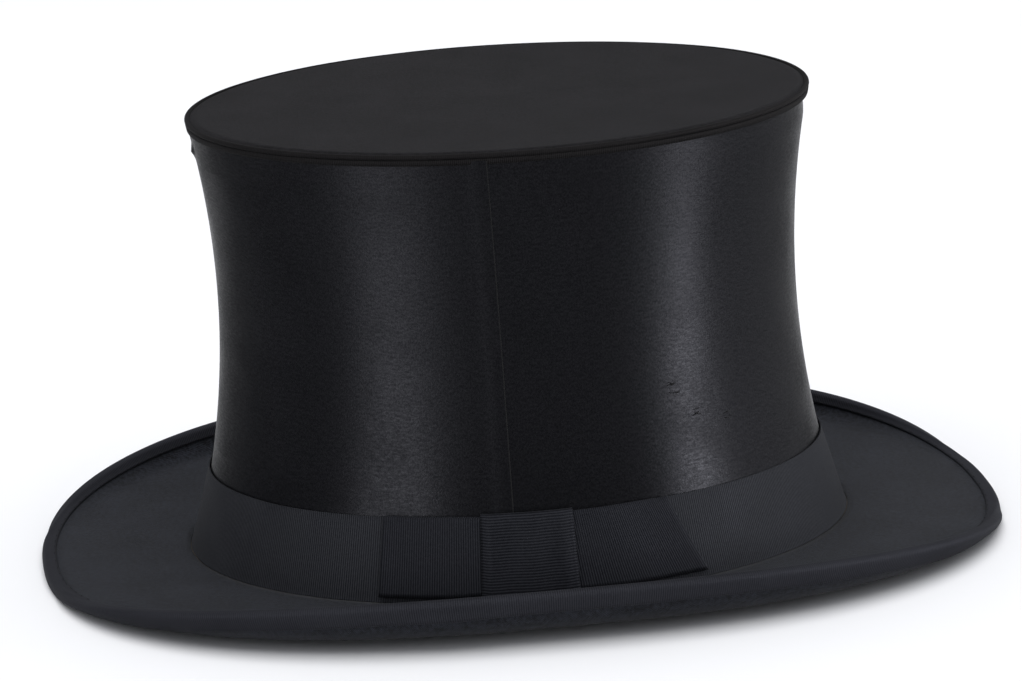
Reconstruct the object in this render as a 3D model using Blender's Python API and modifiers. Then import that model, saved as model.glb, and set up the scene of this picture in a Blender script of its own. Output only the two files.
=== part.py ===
"""A collapsible opera hat: an oval crown of satin over four pairs of sprung, folding arms.

Metres, +Z up. The hat rests on the front and rear of its brim at z = 0. +X is the wearer's front and +Y is
the wearer's left, where the ribbon's bow sits. The arms stand straight, which is the hat sprung open.
"""

import math

import bmesh
import bpy
from mathutils import Matrix, Vector

# Brim, seen from above: its outer edge is a superellipse and the crown stands on an oval foot.
BRIM_HALF = (0.1545, 0.1232)
BRIM_SQUARENESS = 2.37
BRIM_FOOT = (0.1063, 0.0869)
HEAD_OPENING = (0.0989, 0.0795)
END_DIP = 0.0004
SIDE_SLOPE = 0.0036
CURL_RISE = 0.0122
CURL_WIDTH = 0.0094
FLAT_END = 0.18
SLOPE_POWER = 1.5
DIP_POWER = 1.3
CURL_POWER = 0.89
CURL_ROUNDNESS = 0.98
SECTION_STEPS = 60

# Brim, through its thickness: a board between two cloth covers, a wire at its edge, all bound with ribbon.
BOARD = 0.0009
COVER = 0.0004
GAP = 0.0003
WIRE_RADIUS = 0.0006
WIRE_INSET = 0.0017
COVER_INSET = 0.0016
COVER_SETBACK = 0.0004
LAYER_INSETS = (0.0050, 0.0085, 0.0125)
BINDING = 0.0004
BINDING_WIDTH = 0.0050
COVER_GAP = 0.0005
COVER_TOP = BOARD / 2 + COVER_GAP + COVER
BINDING_TOP = COVER_TOP + GAP + BINDING
FOOT_Z = BINDING_TOP + END_DIP + COVER_TOP
BRIM_MID_Z = FOOT_Z - COVER_TOP

# Crown: half length and half width of the satin at the top of the band, the waist and the tip.
BAND_HEIGHT = 0.0256
CROWN_HEIGHT = 0.1404
SATIN_AT_FOOT = (0.1056, 0.0862)
SATIN_AT_BAND = (0.0983, 0.07925)
SATIN_AT_WAIST = (0.0927, 0.0751)
SATIN_AT_TIP = (0.0993, 0.0806)
SATIN = 0.0005
RIBBON = 0.0004
SIDE_LINING = 0.0004
COLLAR = 0.0010
COLLAR_HEIGHT = 0.0280
LINING_OFFSET = SATIN + GAP
SATIN_BELOW_TIP = 0.0019

# Steel rings and folding arms.
RING_HALF = (0.0957, 0.0768)
RING = 0.0010
RING_HEIGHT = 0.0080
BASE_RING_DROP = 0.0105
PIVOT_X = 0.0886
PIVOT_Y = 0.0697
BASE_PIVOT = 0.0310
ARM_LENGTH = 0.0495
TOP_PIVOT = BASE_PIVOT + 2 * ARM_LENGTH
LINING_BELOW_PIVOT = 0.0009
ARM_THICK = 0.0012
ARM_HALF_WIDTH = 0.0041
KNUCKLE = (0.0024, 0.0050)
KNUCKLE_LENGTH = 0.0090
TAB_LAP = 0.0030
BARREL_RADIUS = 0.0020
BORE_RADIUS = 0.00115
BORE_REACH = 0.0100
ROUND_SIDES = 12
PIN_RADIUS = 0.0010
PIN_HEAD = (0.0017, 0.0007)
EAR = (0.0044, 0.0054)
PLATE_FACE = 0.0052
PLATE = 0.0009
PLATE_DROP = 0.0068
SPRING_WIRE = 0.00035
SPRING_RADIUS = 0.0016
SPRING_TURNS = 3
SPRING_LEG = 0.0085

# Tip, from the top down: cover, board and lining, with a corded edge round them.
TIP_COVER = 0.0005
TIP_BOARD = 0.0012
TIP_LINING = 0.0004
TIP_HALF = (0.0975, 0.0788)
PIPING_HALF = (0.0985, 0.0798)
PIPING_RADIUS = 0.0008
PIPING_DROP = 0.0010

# Sweatband and what is sewn to it.
SWEATBAND = 0.0010
SWEATBAND_HEIGHT = 0.0260
SWEATBAND_DROP = 0.0024
SWEATBAND_AT_FOOT = (0.0984, 0.0790)
SWEATBAND_AT_TOP = (0.0926, 0.0737)
REED_HALF = (0.0992, 0.0798)
REED_RADIUS = 0.0007
INNER_BOW_HALF = (0.0080, 0.0035)
INNER_BOW_KNOT = (0.0016, 0.0011)
INNER_BOW_THICK = 0.0008
INNER_BOW_HEIGHT = 0.0185
INNER_BOW_DEPTH = 0.0016

# Bow: degrees round the crown from the front, on the wearer's left.
LOOP_FRONT = 59.5
KNOT = (77.5, 91.5)
TAIL_END = (117.3, 111.8)
BOW_FOOT = 0.0024
BOW_HEIGHT = 0.0236
BOW_LAYERS = (0.0008, 0.0018)
KNOT_FACE = 0.0026
KNOT_LAP = 0.0007

SEGMENTS = 36
ANGLES = [2 * math.pi * i / SEGMENTS for i in range(SEGMENTS)]
SIDES = {"front": 0, "left": 90, "rear": 180, "right": 270}

BLACK_SATIN = ((0.018, 0.018, 0.020), 0.35, 0.0)
BLACK_CLOTH = ((0.026, 0.026, 0.028), 0.80, 0.0)
BLACK_RIBBON = ((0.024, 0.024, 0.026), 0.60, 0.0)
LEATHER = ((0.20, 0.11, 0.06), 0.50, 0.0)
BOARD_GREY = ((0.10, 0.09, 0.08), 0.90, 0.0)
STEEL = ((0.45, 0.45, 0.46), 0.35, 1.0)
SPRING_STEEL = ((0.30, 0.30, 0.32), 0.30, 1.0)


def clear_scene():
    for old in list(bpy.data.objects):
        bpy.data.objects.remove(old)


def new_collection(name):
    made = bpy.data.collections.new(name)
    bpy.context.scene.collection.children.link(made)
    return made


def new_material(name, look):
    colour, roughness, metallic = look
    made = bpy.data.materials.new(name)
    made.use_nodes = True
    shader = made.node_tree.nodes["Principled BSDF"]
    shader.inputs["Base Color"].default_value = (*colour, 1)
    shader.inputs["Roughness"].default_value = roughness
    shader.inputs["Metallic"].default_value = metallic
    return made


def add_part(name, data, look):
    """An object for one sub-part, with its own material, in the hat's collection."""
    part = bpy.data.objects.new(name, data)
    if part.type == "MESH":
        part.data.shade_smooth()
        part.data.set_sharp_from_angle(angle=math.radians(35))
    part.data.materials.clear()
    part.data.materials.append(new_material(name, look))
    HAT.objects.link(part)
    return part


def solidify(part, thickness):
    """Gives an open surface its thickness, on the side away from its normals."""
    shell = part.modifiers.new("thickness", "SOLIDIFY")
    shell.thickness = thickness
    shell.offset = -1
    shell.use_even_offset = True


def grown(oval, by):
    return oval[0] + by, oval[1] + by


def oval_point(oval, angle, z=0.0):
    return Vector((oval[0] * math.cos(angle), oval[1] * math.sin(angle), z))


def grid_mesh(name, rows, closed):
    """A surface through rows of points, joined row to row. A closed row runs round to its own start.

    Each cell is split along its higher diagonal, so that layers nested in one another stay parallel.
    """
    bm = bmesh.new()
    made = [[bm.verts.new(p) for p in row] for row in rows]
    for near, far in zip(made, made[1:]):
        count = len(near)
        for i in range(count if closed else count - 1):
            j = (i + 1) % count
            a, b, c, d = near[i], near[j], far[j], far[i]
            if a.co.z + c.co.z > b.co.z + d.co.z - 1e-5:
                halves = (a, b, c), (a, c, d)
            else:
                halves = (a, b, d), (b, c, d)
            for half in halves:
                bm.faces.new(half)
    mesh = bpy.data.meshes.new(name)
    bm.to_mesh(mesh)
    bm.free()
    return mesh


def ring_mesh(name, stations):
    """A wall through ovals given as (oval, z), listed from the bottom up, facing out."""
    rows = [[oval_point(oval, a, z) for a in ANGLES] for oval, z in stations]
    return grid_mesh(name, rows, closed=True)


def ring_cord(name, oval, z, radius, look):
    """A round cord or wire that runs all the way round an oval."""
    return cord_through(name, [oval_point(oval, a, z) for a in ANGLES], radius, look, cyclic=True)


def cord_through(name, points, radius, look, cyclic=False):
    curve = bpy.data.curves.new(name, "CURVE")
    curve.dimensions = "3D"
    curve.bevel_depth = radius
    curve.bevel_resolution = 1
    curve.use_fill_caps = not cyclic
    spline = curve.splines.new("POLY")
    spline.points.add(len(points) - 1)
    for knot, place in zip(spline.points, points):
        knot.co = (*place, 1)
    spline.use_cyclic_u = cyclic
    return add_part(name, curve, look)


def disc(name, oval, top, thickness, look):
    """A flat oval plate."""
    bm = bmesh.new()
    bmesh.ops.create_cone(bm, cap_ends=True, segments=SEGMENTS, radius1=1, radius2=1, depth=thickness)
    bmesh.ops.scale(bm, vec=(*oval, 1), verts=bm.verts)
    mesh = bpy.data.meshes.new(name)
    bm.to_mesh(mesh)
    bm.free()
    part = add_part(name, mesh, look)
    part.matrix_world = Matrix.Translation((0, 0, top - thickness / 2))
    return part


# ---------------------------------------------------------------- brim


def brim_section(angle):
    """The brim's middle surface from the crown's foot to its edge, along one line seen from above."""
    cosine, sine = math.cos(angle), math.sin(angle)
    power = 2 / BRIM_SQUARENESS
    foot = oval_point(BRIM_FOOT, angle)
    edge = Vector(
        (
            math.copysign(BRIM_HALF[0] * abs(cosine) ** power, cosine),
            math.copysign(BRIM_HALF[1] * abs(sine) ** power, sine),
            0,
        )
    )
    length = (edge - foot).length
    side = max(0.0, (abs(sine) - FLAT_END) / (1 - FLAT_END))
    points = []
    for i in range(SECTION_STEPS + 1):
        share = 1 - (1 - i / SECTION_STEPS) ** 2
        turn = max(0.0, 1 - (1 - share) * length / CURL_WIDTH)
        curl = (1 - math.sqrt(1 - CURL_ROUNDNESS * turn * turn)) / (1 - math.sqrt(1 - CURL_ROUNDNESS))
        point = foot.lerp(edge, share)
        point.z = BRIM_MID_Z + SIDE_SLOPE * side**SLOPE_POWER * share - END_DIP * share**DIP_POWER
        point.z += CURL_RISE * side**CURL_POWER * curl
        points.append(point)
    return points


def brim_surface(angle, inset):
    """A point of the brim's middle surface, this far in from its edge, measured along the brim."""
    points = brim_section(angle)[::-1]
    for near, far in zip(points, points[1:]):
        step = (far - near).length
        if step >= inset:
            return near.lerp(far, inset / step)
        inset -= step
    inward = (points[-1] - points[0]).to_2d().normalized()
    return points[-1] + inward.to_3d() * inset


def brim_point(angle, inset, height):
    """A point this far in from the brim's edge, and this high above its middle surface."""
    reach, turn = 0.0002, math.radians(1)
    across = brim_surface(angle, max(inset - reach, 0)) - brim_surface(angle, inset + reach)
    around = brim_surface(angle + turn, inset) - brim_surface(angle - turn, inset)
    return brim_surface(angle, inset) + across.cross(around).normalized() * height


def brim_length(angle):
    points = brim_section(angle)
    return sum((b - a).length for a, b in zip(points, points[1:]))


def brim_layer(name, edge_inset, height, thickness, look, reach_in):
    """One layer of the brim, its upper face at height. reach_in is how far it goes past the foot."""
    rows = []
    for inset in (edge_inset, *LAYER_INSETS, None):
        rows.append([brim_point(a, inset or brim_length(a) + min(reach_in, 0), height) for a in ANGLES])
    if reach_in > 0:
        rows.append([brim_point(a, brim_length(a) + reach_in, height) for a in ANGLES])
    part = add_part(name, grid_mesh(name, rows[::-1], closed=True), look)
    part.data.flip_normals()
    solidify(part, thickness)
    return part


def brim():
    reach_in = BRIM_FOOT[0] - HEAD_OPENING[0]
    brim_layer("brim_board", WIRE_INSET + WIRE_RADIUS + GAP, BOARD / 2, BOARD, BOARD_GREY, reach_in)
    brim_layer("brim_top_cover", COVER_INSET, COVER_TOP, COVER, BLACK_CLOTH, -COVER_SETBACK)
    brim_layer("brim_under_cover", COVER_INSET, COVER - COVER_TOP, COVER, BLACK_CLOTH, reach_in)
    wire = [brim_point(a, WIRE_INSET, 0) for a in ANGLES]
    cord_through("brim_edge_wire", wire, WIRE_RADIUS, SPRING_STEEL, cyclic=True)
    brim_binding()


def brim_binding():
    """The ribbon folded over the brim's edge: a U-shaped section carried round it."""
    outer, inner = BINDING_TOP, BINDING_TOP - BINDING
    over = [(BINDING_WIDTH, inner), (0.0013, inner), (0.0006, 0.0009)]
    back = [(0.0002, 0.0012), (0.0010, outer), (BINDING_WIDTH, outer)]
    under = [(inset, -height) for inset, height in over[::-1]]
    beneath = [(inset, -height) for inset, height in back[::-1]]
    section = over + [(0.0004, 0)] + under + beneath + [(0, 0)] + back
    rows = [[brim_point(a, inset, height) for a in ANGLES] for inset, height in section]
    ribbon = add_part("brim_binding", grid_mesh("brim_binding", rows + rows[:1], closed=True), BLACK_RIBBON)
    weld(ribbon.data)


def weld(mesh):
    bm = bmesh.new()
    bm.from_mesh(mesh)
    bmesh.ops.remove_doubles(bm, verts=bm.verts, dist=1e-6)
    bmesh.ops.recalc_face_normals(bm, faces=bm.faces)
    bm.to_mesh(mesh)
    bm.free()


# ---------------------------------------------------------------- crown wall


def satin_oval(height):
    """The satin's outer oval at a height above the foot: flared under the band, waisted above it."""
    if height < BAND_HEIGHT:
        share = height / BAND_HEIGHT
        return tuple(a + (b - a) * share for a, b in zip(SATIN_AT_FOOT, SATIN_AT_BAND))
    t = (height - BAND_HEIGHT) / (CROWN_HEIGHT - BAND_HEIGHT)
    weights = ((1 - t) * (1 - 2 * t), 4 * t * (1 - t), t * (2 * t - 1))
    ovals = (SATIN_AT_BAND, SATIN_AT_WAIST, SATIN_AT_TIP)
    return tuple(sum(w * oval[k] for w, oval in zip(weights, ovals)) for k in (0, 1))


def wall_layer(name, heights, offset, thickness, look):
    """A layer of the crown's wall, with its outer face this far outside the satin's."""
    stations = [(grown(satin_oval(h), offset), FOOT_Z + h) for h in heights]
    part = add_part(name, ring_mesh(name, stations), look)
    solidify(part, thickness)
    return part


def evenly(low, high, count):
    return [low + (high - low) * i / count for i in range(count + 1)]


def crown_wall():
    satin_top, lining_top = CROWN_HEIGHT - SATIN_BELOW_TIP, TOP_PIVOT - LINING_BELOW_PIVOT
    satin = [-GAP, *evenly(BAND_HEIGHT, satin_top, 5)]
    lining = evenly(COLLAR_HEIGHT + GAP, lining_top, 4)
    collar = [-GAP, BAND_HEIGHT, COLLAR_HEIGHT]
    wall_layer("satin_side", satin, 0, SATIN, BLACK_SATIN)
    wall_layer("side_lining", lining, -LINING_OFFSET, SIDE_LINING, BLACK_SATIN)
    wall_layer("collar", collar, -LINING_OFFSET, COLLAR, BOARD_GREY)
    wall_layer("hat_band", [0, BAND_HEIGHT], GAP + RIBBON, RIBBON, BLACK_RIBBON)


def sweatband():
    stations = [
        (SWEATBAND_AT_FOOT, FOOT_Z - SWEATBAND_DROP),
        (SWEATBAND_AT_TOP, FOOT_Z + SWEATBAND_HEIGHT),
    ]
    solidify(add_part("sweatband", ring_mesh("sweatband", stations), LEATHER), SWEATBAND)
    ring_cord("sweatband_reed", REED_HALF, FOOT_Z + GAP, REED_RADIUS, BLACK_RIBBON)
    sweatband_bow()


def sweatband_bow():
    """The small flat bow sewn over the sweatband's rear joint."""
    wide, tall = INNER_BOW_HALF
    knot, waist = INNER_BOW_KNOT
    right = [(wide, tall), (knot, waist)]
    left = [(-across, up) for across, up in right[::-1]]
    below = [(across, -up) for across, up in (right + left)[::-1]]
    outline = right + left + below
    curve = bpy.data.curves.new("sweatband_bow", "CURVE")
    curve.dimensions = "2D"
    curve.fill_mode = "BOTH"
    curve.extrude = INNER_BOW_THICK / 2
    spline = curve.splines.new("POLY")
    spline.points.add(len(outline) - 1)
    for point, (across, up) in zip(spline.points, outline):
        point.co = (across, up, 0, 1)
    spline.use_cyclic_u = True
    bow = add_part("sweatband_bow", curve, BLACK_RIBBON)
    taper = SWEATBAND_AT_FOOT[0] - SWEATBAND_AT_TOP[0]
    lean = math.atan(taper / (SWEATBAND_HEIGHT + SWEATBAND_DROP))
    depth = SWEATBAND_AT_TOP[0] - SWEATBAND + (SWEATBAND_HEIGHT - INNER_BOW_HEIGHT) * math.tan(lean)
    bow.location = (INNER_BOW_DEPTH - depth, 0, FOOT_Z + INNER_BOW_HEIGHT)
    bow.rotation_euler = (math.pi / 2, 0, math.pi / 2)
    bow.rotation_euler.rotate_axis("X", lean)


# ---------------------------------------------------------------- bow on the band


def on_band(degrees, height, offset):
    """A point on the outside of the hat band, or this far off it."""
    band = grown(satin_oval(height), GAP + RIBBON + offset)
    return oval_point(band, math.radians(degrees), FOOT_Z + height)


def strip(name, rows, thickness):
    part = add_part(name, grid_mesh(name, rows, closed=False), BLACK_RIBBON)
    solidify(part, thickness)
    return part


def bow():
    knot_front, knot_rear = KNOT
    middle = (knot_front + knot_rear) / 2
    low, high = BOW_FOOT, BOW_FOOT + BOW_HEIGHT
    inner, outer = BOW_LAYERS
    path = [(d, inner) for d in evenly(middle - 1, LOOP_FRONT + 1, 3)]
    path.append((LOOP_FRONT, (inner + outer) / 2))
    path += [(d, outer) for d in evenly(LOOP_FRONT + 1, middle - 1, 3)]
    rows = [[on_band(d, h, off) for d, off in path] for h in (low, high)]
    strip("bow_front_loop", rows, RIBBON)

    tops = evenly(middle + 1, TAIL_END[1], 4)
    feet = evenly(middle + 1, TAIL_END[0], 4)
    rows = [[on_band(d, h, inner) for d in span] for span, h in ((feet, low), (tops, high))]
    strip("bow_tail", rows, RIBBON).data.flip_normals()

    under, over = low - KNOT_LAP, high + KNOT_LAP
    section = [(under, inner), (under, KNOT_FACE), (over, KNOT_FACE), (over, inner)]
    rows = [[on_band(d, h, off) for d in evenly(knot_front, knot_rear, 2)] for h, off in section]
    strip("bow_knot", rows, RIBBON).data.flip_normals()


# ---------------------------------------------------------------- steel frame


def steel_ring(name, bottom):
    stations = [(RING_HALF, FOOT_Z + bottom), (RING_HALF, FOOT_Z + bottom + RING_HEIGHT)]
    part = add_part(name, ring_mesh(name, stations), STEEL)
    solidify(part, RING)
    return part


def box_mesh(bm, low, high):
    size = Vector(high) - Vector(low)
    centre = (Vector(high) + Vector(low)) / 2
    place = Matrix.Translation(centre) @ Matrix.Diagonal((*size, 1))
    bmesh.ops.create_cube(bm, size=1, matrix=place)


def rod_mesh(bm, radius, low, high, sides, at=(0, 0)):
    """A cylinder along Y, from y = low to y = high, with its axis at x, z = at."""
    place = Matrix.Translation((at[0], (low + high) / 2, at[1])) @ Matrix.Rotation(math.pi / 2, 4, "X")
    bmesh.ops.create_cone(
        bm, cap_ends=True, segments=sides, radius1=radius, radius2=radius, depth=high - low, matrix=place
    )


def helper(name, build):
    """A hidden solid that is joined to a sub-part or cut from it."""
    bm = bmesh.new()
    build(bm)
    mesh = bpy.data.meshes.new(name)
    bm.to_mesh(mesh)
    bm.free()
    made = bpy.data.objects.new(name, mesh)
    made.hide_render = True
    made.display_type = "WIRE"
    CUTTERS.objects.link(made)
    return made


def combined(first, steps):
    """The mesh of a helper after joining and cutting others, as (operation, helper)."""
    for operation, other in steps:
        boolean = first.modifiers.new(other.name, "BOOLEAN")
        boolean.operation = operation
        boolean.object = other
        boolean.solver = "EXACT"
    graph = bpy.context.evaluated_depsgraph_get()
    mesh = bpy.data.meshes.new_from_object(first.evaluated_get(graph))
    first.modifiers.clear()
    return mesh


def bracket_mesh():
    """A clevis round the pivot: a plate against the ring and two ears. +X points out of the hat."""
    plate = helper(
        "bracket_plate",
        lambda bm: box_mesh(
            bm,
            (PLATE_FACE - PLATE, -EAR[1], -PLATE_DROP),
            (PLATE_FACE, EAR[1], BARREL_RADIUS),
        ),
    )
    steps = []
    for side in (1, -1):
        low, high = sorted((side * EAR[0], side * EAR[1]))
        nose = helper("ear_nose", lambda bm: rod_mesh(bm, BARREL_RADIUS, low, high, ROUND_SIDES))
        web = helper(
            "ear_web",
            lambda bm: box_mesh(bm, (0, low, -BARREL_RADIUS), (PLATE_FACE - PLATE / 2, high, BARREL_RADIUS)),
        )
        steps += [("UNION", web), ("UNION", nose)]
    bore = helper("bracket_bore", lambda bm: rod_mesh(bm, BORE_RADIUS, -BORE_REACH, BORE_REACH, 8))
    return combined(plate, [*steps, ("DIFFERENCE", bore)])


def arm_mesh():
    """One arm: a full-width barrel on its ring pivot at the origin and a narrow knuckle at the knee above."""
    reach = ARM_LENGTH - KNUCKLE_LENGTH
    half = ARM_THICK / 2
    blade = helper(
        "arm_blade",
        lambda bm: box_mesh(bm, (-half, -ARM_HALF_WIDTH, 0), (half, ARM_HALF_WIDTH, reach)),
    )
    near, far = -KNUCKLE[1], -KNUCKLE[0]
    tab = helper(
        "arm_tab",
        lambda bm: box_mesh(bm, (-half, near, reach - TAB_LAP), (half, far, ARM_LENGTH)),
    )
    barrel = helper(
        "arm_barrel", lambda bm: rod_mesh(bm, BARREL_RADIUS, -ARM_HALF_WIDTH, ARM_HALF_WIDTH, ROUND_SIDES)
    )
    knuckle = helper(
        "arm_knuckle", lambda bm: rod_mesh(bm, BARREL_RADIUS, near, far, ROUND_SIDES, at=(0, ARM_LENGTH))
    )
    foot_bore = helper("foot_bore", lambda bm: rod_mesh(bm, BORE_RADIUS, -BORE_REACH, BORE_REACH, 8))
    knee_bore = helper(
        "knee_bore", lambda bm: rod_mesh(bm, BORE_RADIUS, -BORE_REACH, BORE_REACH, 8, at=(0, ARM_LENGTH))
    )
    joined = [("UNION", piece) for piece in (tab, barrel, knuckle)]
    return combined(blade, [*joined, ("DIFFERENCE", foot_bore), ("DIFFERENCE", knee_bore)])


def add_pin(name):
    """A pin with a head at each end, turned about Z and laid along Y."""
    head, end = PIN_HEAD
    half = EAR[1] + GAP
    profile = [
        (0, half + end),
        (head, half + end),
        (head, half),
        (PIN_RADIUS, half),
        (PIN_RADIUS, -half),
        (head, -half),
        (head, -half - end),
        (0, -half - end),
    ]
    mesh = bpy.data.meshes.new(name)
    points = [(r, 0, z) for r, z in profile]
    mesh.from_pydata(points, [(i, i + 1) for i in range(len(points) - 1)], [])
    pin = add_part(name, mesh, SPRING_STEEL)
    turned = pin.modifiers.new("turned", "SCREW")
    turned.steps = turned.render_steps = 8
    turned.use_merge_vertices = True
    turned.merge_threshold = 1e-5
    return pin


def spring_points():
    """A coil round the knee's pin, with a leg down the lower arm and a leg up the upper arm."""
    per_turn = 8
    half = SPRING_TURNS * per_turn // 2
    pitch = 2 * (KNUCKLE[0] - GAP - SPRING_WIRE) / (SPRING_TURNS * per_turn)
    points = [Vector((SPRING_RADIUS, -half * pitch, -SPRING_LEG))]
    for i in range(-half, half + 1):
        turn = 2 * math.pi * i / per_turn
        points.append(Vector((-math.cos(turn) * SPRING_RADIUS, i * pitch, math.sin(turn) * SPRING_RADIUS)))
    points.append(Vector((SPRING_RADIUS, half * pitch, SPRING_LEG)))
    return points


def place(part, parent, location, turn=0, flipped=False, lie=False):
    """Puts a part round the hat: turned about Z to its side, flipped end for end, or laid along Y."""
    matrix = Matrix.Translation(location) @ Matrix.Rotation(math.radians(turn), 4, "Z")
    if flipped:
        matrix @= Matrix.Rotation(math.pi, 4, "X")
    if lie:
        matrix @= Matrix.Rotation(math.pi / 2, 4, "X")
    part.matrix_world = matrix
    attach(part, parent)


def attach(part, parent):
    if parent is None:
        return
    world = part.matrix_world.copy()
    part.parent = parent
    part.matrix_parent_inverse = parent.matrix_world.inverted()
    part.matrix_world = world


def axis_empty(name, location, turn=0):
    """An empty on a joint's axis, which carries the pieces that the joint moves."""
    empty = bpy.data.objects.new(name, None)
    empty.matrix_world = Matrix.Translation(location) @ Matrix.Rotation(math.radians(turn), 4, "Z")
    HAT.objects.link(empty)
    return empty


def side_point(turn, height):
    """Where the arms' line stands on one side of the hat, at a height above the brim's foot."""
    return Vector(
        (
            PIVOT_X * round(math.cos(math.radians(turn))),
            PIVOT_Y * round(math.sin(math.radians(turn))),
            FOOT_Z + height,
        )
    )


def folding_side(side, turn, bracket, arm, crown_top):
    """One of the four pairs of arms, with its two brackets, three pins and knee spring."""
    foot = side_point(turn, BASE_PIVOT)
    knee = side_point(turn, BASE_PIVOT + ARM_LENGTH)
    top = side_point(turn, TOP_PIVOT)
    fold_axis = axis_empty(f"{side}_fold_axis", foot, turn)
    knee_axis = axis_empty(f"{side}_knee_axis", knee, turn)

    place(add_part(f"{side}_base_bracket", bracket.copy(), STEEL), None, foot, turn)
    place(add_pin(f"{side}_base_pin"), None, foot, turn, lie=True)
    place(add_part(f"{side}_lower_arm", arm.copy(), STEEL), fold_axis, foot, turn)
    place(add_pin(f"{side}_knee_pin"), fold_axis, knee, turn, lie=True)
    spring = cord_through(f"{side}_knee_spring", spring_points(), SPRING_WIRE, SPRING_STEEL)
    place(spring, fold_axis, knee, turn)
    place(add_part(f"{side}_upper_arm", arm.copy(), STEEL), knee_axis, top, turn, flipped=True)
    place(add_part(f"{side}_top_bracket", bracket.copy(), STEEL), crown_top, top, turn, flipped=True)
    place(add_pin(f"{side}_top_pin"), crown_top, top, turn, lie=True)


# ---------------------------------------------------------------- tip


def tip(crown_top):
    board_top = FOOT_Z + CROWN_HEIGHT - TIP_COVER - GAP
    lining_top = board_top - TIP_BOARD - GAP
    ring_top = lining_top - TIP_LINING - GAP
    pieces = [
        disc("tip_cover", TIP_HALF, FOOT_Z + CROWN_HEIGHT, TIP_COVER, BLACK_CLOTH),
        disc("tip_board", TIP_HALF, board_top, TIP_BOARD, BOARD_GREY),
        disc("tip_lining", grown(RING_HALF, -RING), lining_top, TIP_LINING, BLACK_SATIN),
        ring_cord(
            "tip_piping", PIPING_HALF, FOOT_Z + CROWN_HEIGHT - PIPING_DROP, PIPING_RADIUS, BLACK_RIBBON
        ),
        steel_ring("tip_ring", ring_top - RING_HEIGHT - FOOT_Z),
    ]
    for piece in pieces:
        attach(piece, crown_top)


def main():
    brim()
    crown_wall()
    sweatband()
    bow()
    steel_ring("base_ring", BASE_PIVOT - BASE_RING_DROP)
    crown_top = axis_empty("crown_top_axis", side_point(0, TOP_PIVOT))
    tip(crown_top)
    bracket = bracket_mesh()
    arm = arm_mesh()
    for side, turn in SIDES.items():
        folding_side(side, turn, bracket, arm, crown_top)


clear_scene()
HAT = new_collection("opera_hat")
CUTTERS = new_collection("cutters")
main()
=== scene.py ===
"""The looks of a collapsible opera hat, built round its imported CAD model. Metres, +Z up, +X the wearer's front."""

import math
import random

import bmesh
import bpy
import numpy as np
from mathutils import Matrix, Vector


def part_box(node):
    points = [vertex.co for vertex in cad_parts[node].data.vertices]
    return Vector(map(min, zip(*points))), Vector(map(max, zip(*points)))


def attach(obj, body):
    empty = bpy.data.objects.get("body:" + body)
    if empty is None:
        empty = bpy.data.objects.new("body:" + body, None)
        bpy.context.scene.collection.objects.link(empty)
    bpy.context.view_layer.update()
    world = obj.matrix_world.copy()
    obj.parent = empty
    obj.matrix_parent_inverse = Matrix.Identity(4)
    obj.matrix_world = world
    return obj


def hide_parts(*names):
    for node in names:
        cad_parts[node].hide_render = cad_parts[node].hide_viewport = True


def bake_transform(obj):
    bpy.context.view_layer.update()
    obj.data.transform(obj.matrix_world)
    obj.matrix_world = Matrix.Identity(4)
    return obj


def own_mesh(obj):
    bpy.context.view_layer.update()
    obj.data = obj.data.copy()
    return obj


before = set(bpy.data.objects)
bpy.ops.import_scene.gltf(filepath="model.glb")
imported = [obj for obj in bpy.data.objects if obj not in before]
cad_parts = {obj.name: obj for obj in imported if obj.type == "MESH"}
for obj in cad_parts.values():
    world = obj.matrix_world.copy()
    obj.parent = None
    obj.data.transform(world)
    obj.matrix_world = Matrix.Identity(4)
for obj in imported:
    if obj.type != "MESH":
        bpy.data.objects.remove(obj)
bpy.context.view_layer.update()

MM = 0.001
AROUND = 288  # columns round a ring

# ---- where the CAD says things are

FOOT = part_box("hat_band")[0].z
TIP_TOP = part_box("tip_cover")[1].z
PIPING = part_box("tip_piping")
PIPING_Z = (PIPING[0].z + PIPING[1].z) / 2
PIPING_RADIUS = (PIPING[1].z - PIPING[0].z) / 2
PIPING_HALF = (PIPING[1].x - PIPING_RADIUS, PIPING[1].y - PIPING_RADIUS)
TIP_HALF = (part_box("tip_cover")[1].x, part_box("tip_cover")[1].y)

# The same ovals as the CAD's, at heights above the foot.
BAND_HEIGHT = 0.0256
CROWN_HEIGHT = 0.1404
SATIN_AT_FOOT = (0.1056, 0.0862)
SATIN_AT_BAND = (0.0983, 0.07925)
SATIN_AT_WAIST = (0.0927, 0.0751)
SATIN_AT_TIP = (0.0993, 0.0806)
SWEATBAND_AT_FOOT = (0.0984, 0.0790)
SWEATBAND_AT_TOP = (0.0926, 0.0737)

# The brim's section, as in the CAD.
BRIM_HALF = (0.1545, 0.1232)
BRIM_SQUARENESS = 2.37
BRIM_FOOT = (0.1063, 0.0869)
HEAD_OPENING = (0.0989, 0.0795)
END_DIP = 0.0004
SIDE_SLOPE = 0.0036
CURL_RISE = 0.0122
CURL_WIDTH = 0.0094
FLAT_END = 0.18
COVER_TOP = 0.00135
BRIM_MID_Z = FOOT - COVER_TOP
BOARD_THICKNESS = 0.0009
UNDER_REACH = BRIM_FOOT[0] - HEAD_OPENING[0]  # how far the board and the under cloth go in past the crown's foot


# ---- materials


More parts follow.
